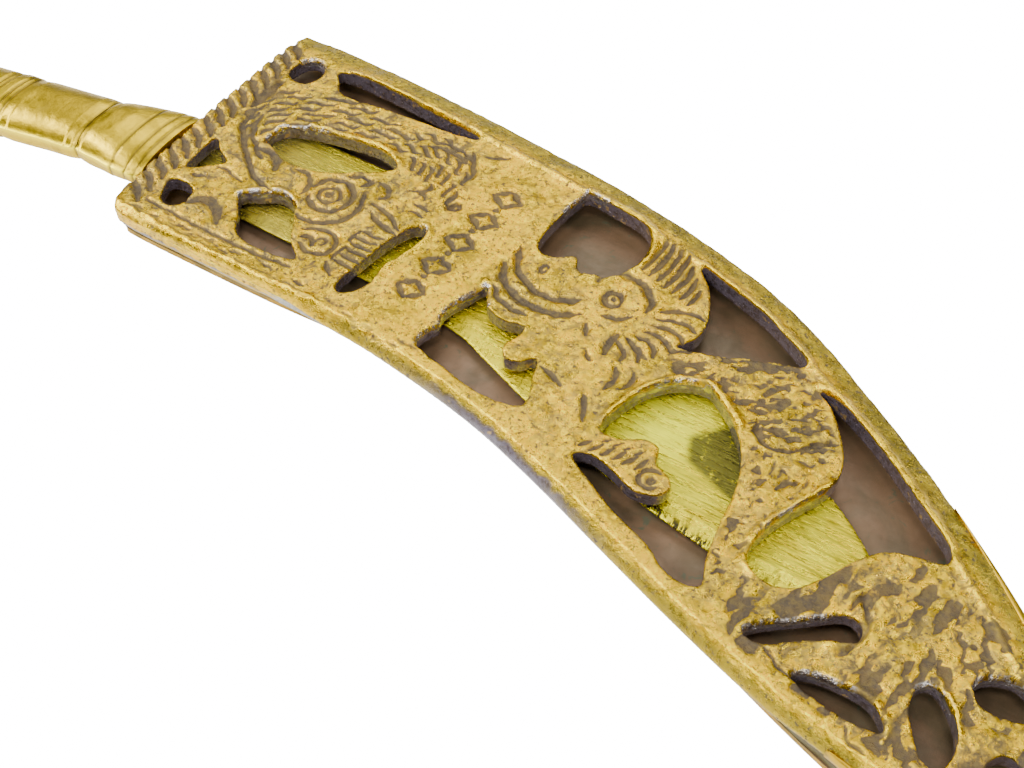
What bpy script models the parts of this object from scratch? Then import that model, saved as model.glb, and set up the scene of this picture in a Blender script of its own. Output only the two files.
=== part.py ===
"""Small curved souvenir knife in a cast openwork brass scabbard, modelled as it comes apart.

The scabbard lies on its plain back, with the openwork casting upwards and the knife pushed home.
Outlines are in millimetres in the scabbard's own plane: X runs from the throat towards the tip
and Y from the belly (the cutting edge's side) to the spine. Z is up from the outside of the back
plate. The empty "scabbard_frame" puts the origin under the middle of the whole object, and the
empty "knife_frame" lies in the middle plane of the blade, on the line along which it is drawn.
"""

import math

import bmesh
import bpy
from mathutils import Vector

MM = 0.001
SEAT = 0.10  # gap between faces that are soldered or pressed together
FIT = 0.15  # gap round the tang

# Thicknesses, from the back of the scabbard to its front
BACK_PLATE = 0.60
CAVITY = 1.60
FRONT_PLATE = 1.60
FRONT_Z = BACK_PLATE + CAVITY
SCABBARD_Z = FRONT_Z + FRONT_PLATE

# Side strips between the plates, and the binding outside them at the tip
STRIP_INSET = 0.30
STRIP_WIDTH = 0.80
# At the belly the back plate's edge is inside the front casting's: (x, how far)
BACK_STEPS = [(-2, 0.9), (16, 0.9), (26, 1.6), (58, 1.6), (72, 1.2), (82, 0), (110, 0)]
STRIP_JOINT_X = 28.0  # where the short belly strip at the throat meets the long one
STRIP_JOINT = 0.3
SOLDER_START_X = 19.5
SOLDER_END_X = 27.5
SOLDER = 0.18
BINDING_START_X = 80.0
BINDING_WIDTH = 0.55
BINDING_END_WIDTH = 0.20

# Knife
BLADE = 0.90
BLADE_Z = BACK_PLATE + CAVITY / 2
HANDLE_RISE = 1.00  # the handle's middle is this far above the blade's
TANG_HALF_WIDTH = 1.9
TANG_TIP_HALF_WIDTH = 1.1

# Edges of the scabbard, from throat to tip
SPINE_EDGE = [
    (0.6, 16.1), (8, 16.1), (20, 15.3), (30, 14.2), (40, 12.8), (50.2, 10.6), (60.2, 7.1),
    (70.2, 1.3), (80.2, -5.6), (88.2, -12.2), (94.3, -18.3), (99.3, -24.7), (102.8, -30.9),
    (104.6, -35.4),
]
BELLY_EDGE = [
    (1.2, -15.2), (8, -15.3), (18, -15.4), (26, -15.7), (32, -16.3), (41.5, -18.0), (49.5, -20.4),
    (57.5, -23.3), (66.5, -26.5), (74.5, -29.0), (81.5, -30.4), (89.6, -32.4), (97.8, -35.4),
    (102.4, -37.7),
]
THROAT = [(-0.5, -14.2), (-1.1, -12.2), (-1.3, -5.0), (-1.35, 2.0), (-1.2, 10.0), (-0.7, 15.0)]
BACK_THROAT = [(-0.2, -13.9), (-0.9, -12.6), *THROAT[2:]]
TIP = [(104.5, -37.3), (103.7, -38.0)]

# Windows of the front casting, going round each hole
WINDOWS = {
    "corner_hole": [(1.9, 9.7), (1.8, 11.6), (2.5, 12.9), (3.9, 12.9), (4.9, 11.7), (4.8, 10.2), (3.9, 9.1)],
    "spine_slot": [(6.4, 12.9), (12, 12.9), (18, 12.3), (24.4, 11.5), (20, 10.8), (14, 10.4), (8.8, 9.9), (7.2, 11.3)],
    "brow_slot": [
        (6.2, 0.6), (6.6, 2.6), (9, 3.9), (13, 4.7), (17, 5.0), (19.5, 3.9), (18.2, 2.3),
        (15.5, 0.4), (12.5, -0.9), (9.8, -1.1), (7.8, -0.3),
    ],
    "cheek_hole": [(1.9, -2.0), (3.3, -3.2), (4.9, -4.3), (3.8, -5.5), (2.6, -6.6), (1.9, -6.6), (1.7, -4.5)],
    "chin_hole": [(2.0, -8.9), (3.6, -8.6), (4.9, -9.3), (5.1, -11.1), (4.2, -11.9), (3.0, -11.6), (2.2, -10.3)],
    "jaw_window": [
        (9.0, -7.2), (10.6, -6.0), (12.2, -5.1), (14.2, -5.6), (15.6, -7.6), (16.8, -9.6),
        (18.6, -11.3), (15.5, -12.0), (12.2, -11.6), (10.6, -9.5),
    ],
    "tooth_slot": [
        (26.4, -1.7), (27.0, -2.8), (26.6, -6.0), (25.9, -8.0), (26.2, -9.4), (25.6, -11.4),
        (24.6, -12.6), (23.7, -11.8), (23.9, -8.8), (24.6, -4.6), (25.4, -2.3),
    ],
    "crown_window": [
        (37.4, 10.4), (40.4, 10.0), (43.4, 9.5), (45.1, 8.2), (45.7, 5.8), (45.3, 3.6), (43.9, 1.7),
        (42.2, 0.9), (41.2, 1.3), (40.4, 2.5), (39.0, 1.7), (37.5, 1.3), (36.5, 2.3), (36.3, 4.6),
        (36.5, 7.2), (36.8, 9.2),
    ],
    "mouth_window": [
        (35.4, -4.9), (36.0, -5.9), (37.0, -7.2), (38.8, -7.7), (40.9, -7.3), (40.9, -8.6),
        (40.4, -10.0), (41.2, -11.3), (42.6, -11.0), (43.7, -9.9), (44.4, -11.8), (45.4, -15.1),
        (41.6, -15.8), (37.4, -15.0), (33.9, -14.0), (33.8, -12.3), (34.3, -11.0), (33.8, -9.5),
        (34.6, -7.0),
    ],
    "crest_window": [
        (50.9, 7.3), (54.5, 6.2), (58.5, 4.8), (61.6, 3.2), (63.9, 1.6), (62.4, 0.8), (60.0, 0.0),
        (56.8, -1.4), (53.3, -2.4), (54.3, -0.8), (54.4, 1.2), (53.7, 3.4), (52.4, 5.6),
    ],
    "claw_window": [
        (52.1, -13.7), (52.5, -10.8), (53.6, -7.9), (55.4, -5.9), (57.6, -5.1), (59.4, -5.9),
        (61.6, -7.7), (63.3, -9.9), (64.4, -13.0), (64.9, -17.0), (65.5, -20.6), (66.3, -22.9),
        (65.0, -23.5), (63.0, -23.1), (61.0, -21.8), (57.4, -20.5), (53.8, -18.7), (51.6, -17.3),
        (52.8, -16.5), (55.0, -16.9), (57.4, -17.8), (59.4, -17.3), (60.0, -16.0), (59.1, -15.0),
        (57.9, -14.6), (57.3, -12.9), (55.8, -12.8), (53.9, -13.9),
    ],
    "tail_window": [
        (65.8, -0.4), (68.4, -1.0), (71.6, -2.7), (75.0, -5.0), (78.4, -7.6), (81.2, -9.7),
        (81.6, -11.2), (79.6, -11.7), (77.2, -12.6), (75.4, -14.6), (73.8, -17.6), (72.0, -19.7),
        (69.4, -19.9), (68.1, -18.6), (68.3, -15.6), (69.6, -12.4), (71.0, -9.4), (70.9, -6.6),
        (69.5, -3.9), (67.6, -1.6),
    ],
    "leg_slot": [
        (70.8, -24.6), (72.2, -23.1), (74.6, -21.2), (76.8, -19.5), (78.3, -19.9), (78.4, -21.3),
        (76.4, -22.4), (74.4, -23.6), (72.9, -24.9), (71.4, -25.1),
    ],
    "foot_slot": [
        (75.4, -26.3), (76.8, -25.4), (79.6, -25.1), (81.6, -25.5), (83.0, -27.0), (81.4, -27.5),
        (79.0, -27.4), (77.0, -27.0),
    ],
    "oval_hole": [
        (83.7, -22.4), (84.7, -21.6), (86.4, -22.8), (87.8, -25.0), (87.6, -27.4), (86.2, -27.7),
        (84.6, -25.7), (83.8, -24.2),
    ],
    "flank_hole": [(87.2, -20.0), (88.0, -18.8), (90.0, -18.2), (92.1, -19.6), (91.4, -21.0), (89.2, -21.5), (87.8, -21.2)],
    "scroll_hole": [(90.2, -25.2), (91.4, -24.1), (93.4, -25.2), (94.8, -27.6), (94.0, -29.4), (91.9, -28.9), (90.4, -27.0)],
    "point_hole": [(95.2, -24.0), (96.4, -24.2), (98.2, -27.4), (99.6, -30.8), (98.2, -30.9), (96.4, -28.0)],
}

# Blade edges, from the shoulders to the point
BLADE_SPINE = [
    (-0.9, 4.2), (2, 4.6), (20, 4.7), (30, 4.0), (40, 2.2), (50, -0.9), (57, -3.3), (65, -6.0),
    (71.4, -8.8), (76, -12.2), (80.3, -16.2),
]
BLADE_EDGE = [
    (-0.9, -7.6), (2, -7.9), (12.7, -8.2), (25, -8.5), (34.5, -9.4), (39, -10.9), (44, -12.8),
    (52, -15.6), (58, -17.2), (64.6, -18.4), (70, -19.0), (75.5, -18.6), (80.3, -16.6),
]

# Handle sections in planes across X: x, middle y, half width, half thickness
BOLSTER = [
    (-1.6, -4.8, 5.1, 1.50), (-2.6, -4.95, 5.2, 1.75), (-4.4, -5.25, 5.0, 2.00),
    (-6.6, -5.6, 4.6, 2.20), (-8.6, -5.95, 4.2, 2.25), (-9.5, -6.1, 3.8, 2.10),
]
GRIP = [
    (-9.6, -6.1, 3.8, 2.05), (-10.4, -6.3, 4.1, 2.25), (-13.5, -6.8, 4.0, 2.30),
    (-17.5, -7.5, 4.1, 2.30), (-18.6, -7.7, 3.9, 2.15), (-19.2, -7.8, 4.2, 2.35),
    (-20.6, -8.1, 4.3, 2.35), (-21.2, -8.2, 3.9, 2.15), (-22.2, -8.4, 4.2, 2.30),
    (-30.0, -10.0, 4.4, 2.32), (-40.0, -12.4, 4.3, 2.30), (-50.0, -15.2, 4.3, 2.28),
    (-57.0, -17.3, 4.6, 2.28), (-62.0, -18.9, 5.6, 2.30), (-65.0, -19.9, 6.6, 2.34),
]
BUTT_CAP = [
    (-65.1, -19.9, 6.6, 2.34), (-65.6, -20.1, 7.0, 2.40), (-66.8, -20.5, 7.1, 2.40),
    (-67.9, -20.9, 6.5, 2.25), (-68.3, -21.0, 5.4, 2.00),
]
KEEPER = [
    (-68.4, -21.0, 2.3, 1.90), (-69.0, -21.2, 2.2, 1.80), (-69.7, -21.5, 1.6, 1.40),
]
TANG_LINE = [
    (-0.9, -4.7), (-9.5, -6.1), (-20, -8.0), (-30, -10.0), (-40, -12.4), (-50, -15.2),
    (-60, -18.3), (-69.0, -21.2),
]
SECTION_POWER = 2.7  # 2 is an ellipse, higher is squarer
SECTION_POINTS = 24


def flow(points, steps, closed=False):
    """A smooth Catmull-Rom line through the points, with that many pieces between neighbours."""
    n = len(points)
    line = []
    for i in range(n if closed else n - 1):
        if closed:
            p0, p1, p2, p3 = (points[(i + k) % n] for k in (-1, 0, 1, 2))
        else:
            p0, p1, p2, p3 = (points[min(max(i + k, 0), n - 1)] for k in (-1, 0, 1, 2))
        for s in range(steps):
            t = s / steps
            weights = (
                -0.5 * t + t**2 - 0.5 * t**3,
                1 - 2.5 * t**2 + 1.5 * t**3,
                0.5 * t + 2 * t**2 - 1.5 * t**3,
                -0.5 * t**2 + 0.5 * t**3,
            )
            line.append(tuple(
                sum(w * p[axis] for w, p in zip(weights, (p0, p1, p2, p3))) for axis in range(2)
            ))
    return line if closed else line + [tuple(points[-1])]


def inset(line, distance):
    """The line moved to its right-hand side, by one distance or by one for each point."""
    distances = distance if isinstance(distance, list) else [distance] * len(line)
    moved = []
    for i, (x, y) in enumerate(line):
        (x0, y0), (x1, y1) = line[max(i - 1, 0)], line[min(i + 1, len(line) - 1)]
        length = math.hypot(x1 - x0, y1 - y0)
        moved.append((x + (y1 - y0) / length * distances[i], y - (x1 - x0) / length * distances[i]))
    return moved


def material(name, colour, roughness, metallic=1.0):
    made = bpy.data.materials.new(name)
    made.use_nodes = True
    shader = made.node_tree.nodes["Principled BSDF"]
    shader.inputs["Base Color"].default_value = (*colour, 1)
    shader.inputs["Roughness"].default_value = roughness
    shader.inputs["Metallic"].default_value = metallic
    return made


def place(obj, finish, parent):
    obj.data.materials.append(finish)
    PARTS.objects.link(obj)
    obj.parent = parent
    return obj


def plate(name, loops, low, high, finish, parent):
    """A flat piece between two heights: its first loop is the outline and the others are holes."""
    curve = bpy.data.curves.new(name, "CURVE")
    curve.dimensions = "2D"
    curve.fill_mode = "BOTH"
    curve.extrude = (high - low) / 2 * MM
    for loop in loops:
        spline = curve.splines.new("POLY")
        spline.points.add(len(loop) - 1)
        spline.use_cyclic_u = True
        for point, (x, y) in zip(spline.points, loop):
            point.co = (x * MM, y * MM, 0, 1)
    obj = bpy.data.objects.new(name, curve)
    obj.location.z = (low + high) / 2 * MM
    return place(obj, finish, parent)


def section(x, y, half_width, half_thickness):
    """Points of a squared oval in the plane across X."""
    points = []
    for k in range(SECTION_POINTS):
        turn = 2 * math.pi * k / SECTION_POINTS
        c, s = math.cos(turn), math.sin(turn)
        points.append(Vector((
            x,
            y + half_width * math.copysign(abs(c) ** (2 / SECTION_POWER), c),
            HANDLE_RISE + half_thickness * math.copysign(abs(s) ** (2 / SECTION_POWER), s),
        )) * MM)
    return points


def loft(name, stations, finish, parent):
    """A solid through squared-oval sections, which run from +X to -X."""
    mesh = bmesh.new()
    rings = [[mesh.verts.new(p) for p in section(*station)] for station in stations]
    for ring, following in zip(rings, rings[1:]):
        for k in range(SECTION_POINTS):
            nxt = (k + 1) % SECTION_POINTS
            mesh.faces.new((ring[k], following[k], following[nxt], ring[nxt]))
    mesh.faces.new(rings[0])
    mesh.faces.new(reversed(rings[-1]))
    bmesh.ops.recalc_face_normals(mesh, faces=mesh.faces)
    data = bpy.data.meshes.new(name)
    mesh.to_mesh(data)
    mesh.free()
    data.shade_smooth()
    data.set_sharp_from_angle(angle=math.radians(35))
    return place(bpy.data.objects.new(name, data), finish, parent)


def smooth_stations(stations, steps=2):
    """More sections between the given ones, following a smooth line."""
    middle = flow([(s[0], s[1]) for s in stations], steps)
    size = flow([(s[2], s[3]) for s in stations], steps)
    return [m + s for m, s in zip(middle, size)]


def tang_outline(clearance):
    """The tang's outline, or its slot's where there is a clearance, from the shoulders back."""
    line = flow(TANG_LINE, 3)
    last = len(line) - 1
    halves = [
        TANG_HALF_WIDTH + (TANG_TIP_HALF_WIDTH - TANG_HALF_WIDTH) * i / last + clearance
        for i in range(last + 1)
    ]
    upper = inset(line, halves)
    lower = inset(line, [-h for h in halves])
    return upper + lower[::-1]


def cut_tang_slot(obj, cutter):
    slot = obj.modifiers.new("tang_slot", "BOOLEAN")
    slot.operation = "DIFFERENCE"
    slot.object = cutter


def tang_cutter(parent):
    """A mesh of the tang's slot, which stands past both ends of the tang."""
    outline = tang_outline(FIT)
    count = len(outline)
    front = ((outline[0][0] + 3, outline[0][1]), (outline[-1][0] + 3, outline[-1][1]))
    half = count // 2
    back = (
        (outline[half - 1][0] - 3, outline[half - 1][1]),
        (outline[half][0] - 3, outline[half][1]),
    )
    outline = [front[0], *outline[:half], *back, *outline[half:], front[1]]
    mesh = bmesh.new()
    low = -BLADE / 2 - FIT
    corners = [mesh.verts.new(Vector((x, y, low)) * MM) for x, y in outline]
    floor = mesh.faces.new(corners)
    lifted = bmesh.ops.extrude_face_region(mesh, geom=[floor])
    raised = [v for v in lifted["geom"] if isinstance(v, bmesh.types.BMVert)]
    bmesh.ops.translate(mesh, verts=raised, vec=Vector((0, 0, (BLADE + 2 * FIT) * MM)))
    bmesh.ops.recalc_face_normals(mesh, faces=mesh.faces)
    data = bpy.data.meshes.new("tang_cutter")
    mesh.to_mesh(data)
    mesh.free()
    obj = bpy.data.objects.new("tang_cutter", data)
    CUTTERS.objects.link(obj)
    obj.parent = parent
    obj.hide_render = True
    obj.display_type = "WIRE"
    return obj


def back_step(x):
    """How far the back plate's edge at the belly is inside the front casting's."""
    for (x0, step0), (x1, step1) in zip(BACK_STEPS, BACK_STEPS[1:]):
        if x <= x1:
            return step0 + (step1 - step0) * (x - x0) / (x1 - x0)
    return 0


def strip(name, edge, finish, parent):
    """A wall between the plates, a little inside the back plate's edge; edge runs spine-wise round."""
    outer = inset(edge, STRIP_INSET)
    inner = inset(edge, STRIP_INSET + STRIP_WIDTH)
    plate(name, [outer + inner[::-1]], BACK_PLATE + SEAT, FRONT_Z - SEAT, finish, parent)


def tip_binding(round_tip, finish, parent):
    """The narrow band bent round the outside of the tip, thinner at its two ends."""
    last = len(round_tip) - 1
    widths = [
        BINDING_END_WIDTH + (BINDING_WIDTH - BINDING_END_WIDTH) * min(1, 2 * i / 3, 2 * (last - i) / 3)
        for i in range(last + 1)
    ]
    inner = inset(round_tip, -SEAT)
    outer = inset(round_tip, [-SEAT - w for w in widths])
    plate("tip_binding", [outer + inner[::-1]], 0, SCABBARD_Z - SEAT, finish, parent)


def build_scabbard(frame):
    cast_brass = material("cast_brass", (0.62, 0.42, 0.13), 0.38)
    sheet = material("tarnished_sheet", (0.30, 0.18, 0.10), 0.50)
    wall_brass = material("wall_brass", (0.66, 0.52, 0.26), 0.35)
    solder = material("solder", (0.60, 0.58, 0.52), 0.35)

    outline = flow(THROAT + SPINE_EDGE + TIP + BELLY_EDGE[::-1], 4, closed=True)
    windows = [flow(points, 3, closed=True) for points in WINDOWS.values()]
    plate("front_plate", [outline, *windows], FRONT_Z, SCABBARD_Z, cast_brass, frame)
    back_belly = inset(BELLY_EDGE[::-1], [back_step(x) for x, _ in BELLY_EDGE[::-1]])
    back_outline = flow(BACK_THROAT + SPINE_EDGE + TIP + back_belly, 4, closed=True)
    plate("back_plate", [back_outline], 0, BACK_PLATE, sheet, frame)

    spine = flow(SPINE_EDGE, 5)
    belly = flow(back_belly, 5)
    strip("spine_strip", spine, wall_brass, frame)
    belly_long = [p for p in belly if p[0] > STRIP_JOINT_X + STRIP_JOINT]
    belly_short = [p for p in belly if p[0] < STRIP_JOINT_X]
    strip("belly_strip_long", belly_long, wall_brass, frame)
    strip("belly_strip_short", belly_short, wall_brass, frame)

    seam = [p for p in belly if SOLDER_START_X < p[0] < SOLDER_END_X]
    outer = inset(seam, STRIP_INSET - SEAT - SOLDER)
    inner = inset(seam, STRIP_INSET - SEAT)
    heights = (BACK_PLATE + SEAT, FRONT_Z - SEAT)
    plate("belly_solder", [outer + inner[::-1]], *heights, solder, frame)

    around = flow(SPINE_EDGE + TIP + BELLY_EDGE[::-1], 5)
    tip_binding([p for p in around if p[0] >= BINDING_START_X], cast_brass, frame)


def build_knife(frame):
    handle_brass = material("handle_brass", (0.50, 0.38, 0.13), 0.32)
    blade_brass = material("brushed_brass", (0.80, 0.68, 0.25), 0.30)

    tang = tang_outline(0)
    half = len(tang) // 2
    outline = flow(BLADE_SPINE, 4) + flow(BLADE_EDGE, 4)[::-1] + tang[half:][::-1] + tang[:half][::-1]
    plate("blade", [outline], -BLADE / 2, BLADE / 2, blade_brass, frame)
    cutter = tang_cutter(frame)
    sections = {"bolster": BOLSTER, "grip": GRIP, "butt_cap": BUTT_CAP, "tang_keeper": KEEPER}
    for name, stations in sections.items():
        cut_tang_slot(loft(name, smooth_stations(stations), handle_brass, frame), cutter)


def corners(objects):
    """Lowest and highest corner of the objects in world space, modifiers included."""
    graph = bpy.context.evaluated_depsgraph_get()
    points = []
    for obj in objects:
        seen = obj.evaluated_get(graph)
        mesh = seen.to_mesh()
        points += [seen.matrix_world @ v.co for v in mesh.vertices]
        seen.to_mesh_clear()
    low = Vector([min(p[axis] for p in points) for axis in range(3)])
    high = Vector([max(p[axis] for p in points) for axis in range(3)])
    return low, high


for old in list(bpy.data.objects):
    bpy.data.objects.remove(old)
PARTS = bpy.data.collections.new("sheathed_knife")
CUTTERS = bpy.data.collections.new("cutters")
FRAMES = bpy.data.collections.new("frames")
for collection in (PARTS, CUTTERS, FRAMES):
    bpy.context.scene.collection.children.link(collection)

scabbard_frame = bpy.data.objects.new("scabbard_frame", None)
knife_frame = bpy.data.objects.new("knife_frame", None)
for empty in (scabbard_frame, knife_frame):
    FRAMES.objects.link(empty)
knife_frame.parent = scabbard_frame
knife_frame.location.z = BLADE_Z * MM
build_scabbard(scabbard_frame)
build_knife(knife_frame)

lowest, highest = corners(PARTS.objects)
scabbard_frame.location = (-(lowest.x + highest.x) / 2, -(lowest.y + highest.y) / 2, -lowest.z)
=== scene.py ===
"""Looks of the sheathed brass letter opener: relief of the pierced casting, knife, walls, studio.

Outlines are in millimetres in the scabbard's own plane: X from the throat towards the tip, Y from
the belly to the spine, Z up from the outside of the back plate. ORIGIN is that plane's zero point
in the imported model's frame.
"""

import math

import bmesh
import bpy
import numpy as np
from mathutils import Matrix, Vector
from mathutils.kdtree import KDTree


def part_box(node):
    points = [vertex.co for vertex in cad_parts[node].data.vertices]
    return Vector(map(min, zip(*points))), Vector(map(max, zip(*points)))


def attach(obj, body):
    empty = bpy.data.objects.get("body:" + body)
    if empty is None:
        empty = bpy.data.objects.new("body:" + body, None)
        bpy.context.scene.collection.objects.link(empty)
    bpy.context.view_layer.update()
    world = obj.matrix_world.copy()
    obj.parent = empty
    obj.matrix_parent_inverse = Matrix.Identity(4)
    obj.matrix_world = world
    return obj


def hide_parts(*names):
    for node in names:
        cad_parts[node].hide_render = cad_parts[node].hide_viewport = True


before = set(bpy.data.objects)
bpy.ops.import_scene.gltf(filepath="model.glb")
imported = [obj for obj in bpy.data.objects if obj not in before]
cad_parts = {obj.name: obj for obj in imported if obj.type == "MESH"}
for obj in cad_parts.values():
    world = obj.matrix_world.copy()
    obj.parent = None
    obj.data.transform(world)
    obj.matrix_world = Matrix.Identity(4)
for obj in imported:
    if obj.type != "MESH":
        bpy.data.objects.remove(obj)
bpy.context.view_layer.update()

MM = 0.001
BLADE_POINT_X = 80.3
BOLSTER_LOW_Y = -10.25
ORIGIN = np.array((
    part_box("blade")[1].x - BLADE_POINT_X * MM,
    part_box("bolster")[0].y - BOLSTER_LOW_Y * MM,
    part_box("back_plate")[0].z,
))
# Heights of the plates' faces, and of the middle of the blade and of the handle
BACK_INSIDE_Z = 0.6
FRONT_LOW_Z = 2.2
FRONT_TOP_Z = 3.8
BLADE_Z = 1.4
HANDLE_Z = 2.4

# Camera: its place in the scabbard's plane, and its focal length in widths of the picture
CAMERA_PLACE = (86.79, -83.19, FRONT_TOP_Z + 97.67)
CAMERA_HEADING = (-0.3397, 0.5457, -0.766)
FOCAL = 1500 / 1024
SENSOR = 36.0

# Studio: how bright the floor looks and how much it lights, the sky, and the soft boxes
FLOOR_SEEN = 19.0
FLOOR_GLOW = 0.7
SKY = 0.18
LAMPS = [  # name, place from the object in metres, side in metres, power in watts
    ("overhead_box", (-0.2, 0.33, 0.46), 0.4, 1.9),
    ("window_box", (0.35, 0.3, 0.45), 0.12, 1.5),
    ("left_box", (-0.45, -0.08, 0.3), 0.15, 1.4),
    ("brow_box", (-0.19, -0.25, 0.45), 0.16, 0.95),
    ("side_box", (-0.37, -0.13, 0.39), 0.16, 0.9),
    ("front_box", (0.16, -0.45, 0.34), 0.12, 1.6),
    ("top_box", (0.09, -0.17, 0.5), 0.14, 1.0),
]

TINY = 1e-12  # stands in for a length of nothing in a division

# ---------------- lines and distances


def flow(points, steps):
    """A smooth Catmull-Rom line through the points."""
    pts = np.array(points, float)
    padded = np.vstack([pts[:1], pts, pts[-1:]])
    t = np.arange(steps) / steps
    weights = np.stack([
        -0.5 * t + t**2 - 0.5 * t**3,
        1 - 2.5 * t**2 + 1.5 * t**3,
        0.5 * t + 2 * t**2 - 1.5 * t**3,
        -0.5 * t**2 + 0.5 * t**3,
    ], 1)
    line = [weights @ padded[i:i + 4] for i in range(len(pts) - 1)]
    return np.vstack([*line, pts[-1:]])


def to_segment(a, b, where):
    """Distance from each point of where to a segment, and how far along it the nearest place is."""
    ab = b - a
    along = np.clip(((where - a) @ ab) / max(ab @ ab, TINY), 0, 1)
    return np.hypot(*(where - a - along[:, None] * ab).T), along


def distance_to(line, where):
    """Distance from each point of where to a polyline, in the plane."""
    best = np.full(len(where), np.inf)
    for a, b in zip(line[:-1], line[1:]):
        best = np.minimum(best, to_segment(a, b, where)[0])
    return best


def running_length(line):
    """Each point's distance from the line's start, along the line."""
    return np.concatenate([[0], np.cumsum(np.hypot(*np.diff(line, axis=0).T))])


def stroke_reach(line, width, where):
    """Distance from each point to a stroke, in half widths of the stroke, which thins at its ends."""
    length = running_length(line)
    best, at = np.full(len(where), np.inf), np.zeros(len(where))
    for k, (a, b) in enumerate(zip(line[:-1], line[1:])):
        apart, along = to_segment(a, b, where)
        closer = apart < best
        best[closer] = apart[closer]
        at[closer] = length[k] + along[closer] * (length[k + 1] - length[k])
    ends = np.minimum(at, length[-1] - at)
    return best / (width * (0.5 + 0.5 * ramp(ends, 0, 2.4 * width)))


def inside(polygon, where):
    """True for the points that lie in the polygon."""
    poly = np.array(polygon, float)
    result = np.zeros(len(where), bool)
    for (x0, y0), (x1, y1) in zip(poly, np.roll(poly, -1, 0)):
        crosses = (y0 > where[:, 1]) != (y1 > where[:, 1])
        slope = (x1 - x0) / (y1 - y0 if y1 != y0 else TINY)
        result ^= crosses & (where[:, 0] < x0 + slope * (where[:, 1] - y0))
    return result


def ramp(value, low, high):
    """0 up to low and 1 from high on, with a smooth step between."""
    t = np.clip((value - low) / (high - low), 0, 1)
    return t * t * (3 - 2 * t)


def fade(value, low, high):
    """1 up to low and 0 from high on."""
    return 1 - ramp(value, low, high)


def bell(distance, width):
    """1 on a line, falling away to both sides over about that width."""
    return np.exp(-((distance / width) ** 2))


def arc(centre, radius, start, end, squash=1.0, turn=0.0, count=14):
    """Points of an elliptical arc, angles in degrees."""
    angles = np.radians(np.linspace(start, end, count))
    x, y = radius * np.cos(angles), radius * squash * np.sin(angles)
    c, s = math.cos(math.radians(turn)), math.sin(math.radians(turn))
    return np.stack([centre[0] + x * c - y * s, centre[1] + x * s + y * c], 1)


# ---------------- the casting's relief

SPINE_EDGE = [
    (0.6, 16.1), (8, 16.1), (20, 15.3), (30, 14.2), (40, 12.8), (50.2, 10.6), (60.2, 7.1), (70.2, 1.3),
    (80.2, -5.6), (88.2, -12.2), (94.3, -18.3), (99.3, -24.7), (102.8, -30.9), (104.6, -35.4),
]
BELLY_EDGE = [
    (1.2, -15.2), (8, -15.3), (18, -15.4), (26, -15.7), (32, -16.3), (41.5, -18), (49.5, -20.4),
    (57.5, -23.3), (66.5, -26.5), (74.5, -29), (81.5, -30.4), (89.6, -32.4), (97.8, -35.4),
    (102.4, -37.7),
]
THROAT_EDGE = [(-0.5, -14.2), (-1.1, -12.2), (-1.3, -5), (-1.35, 2), (-1.2, 10), (-0.7, 15)]

# Engraved strokes: points, half width, depth
STROKES = []


def engrave(points, width=0.22, depth=0.28, steps=4):
    STROKES.append((flow(points, steps), width, depth))


def ring(centre, radius, width=0.22, depth=0.28, start=0, end=360, squash=1.0, turn=0.0):
    STROKES.append((arc(centre, radius, start, end, squash, turn, 22), width, depth))


def rope_border():
    """Slanting grooves between the strands of the moulding at the throat."""
    for k in range(15):
        y = 13.9 - 1.8 * k
        engrave([(-1.2, y + 0.4), (-0.5, y), (0.5, y - 0.8), (1.3, y - 1.7)], 0.36, 0.34)


BROW_SLOT = [(8.2, 0.6), (11.5, 2.3), (15.5, 3.3), (18.3, 3.2)]


def mane():
    """Curled locks in rows round the brow slot."""
    slot = flow(BROW_SLOT, 6)
    for row in range(7):
        off = 2.9 + 0.86 * row
        lock = 3.0 + 0.22 * (row % 3)
        first = -1.55 * off + (0.0 if row % 2 else 1.5)
        for start in np.arange(first, running_length(slot)[-1] + 2.3 * off, lock):
            points = []
            for f in np.linspace(0, 1, 6):
                wave = 0.2 * math.sin(2 * math.pi * f) + 0.25 * f * f
                points.append(round_slot(slot, start + 0.72 * f * lock, off + wave))
            if mane_room(*points[3]):
                engrave(points, 0.2, 0.24, 2)


def round_slot(slot, at, off):
    """A point at a distance along and off the slot's middle line, going round both its ends."""
    length = running_length(slot)
    if 0 <= at < length[-1]:
        p, q = (np.array([np.interp(s, length, axis) for axis in slot.T]) for s in (at, at + 0.1))
        d = (q - p) / np.hypot(*(q - p))
        return p + off * np.array((-d[1], d[0]))
    end, past, (a, b) = (slot[0], at, slot[:2]) if at < 0 else (slot[-1], at - length[-1], slot[-2:])
    dx, dy = b - a
    angle = math.atan2(dy, dx) + math.pi / 2 - past / off
    return end + off * np.array((math.cos(angle), math.sin(angle)))


def mane_room(x, y):
    """Whether a lock may lie here, clear of the rims, the temple, the face and the snout."""
    taken = (
        x < 2.3 or x > 26.6 or y > 9.7 - 0.02 * x,
        x < 7 and y > 8.2,
        x < 6.5 and y < -1.2 + 0.25 * x,
        x > 19.5 and y < 2.0,
        6.5 < x < 20 and y < 1.0,
    )
    return not any(taken)


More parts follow.
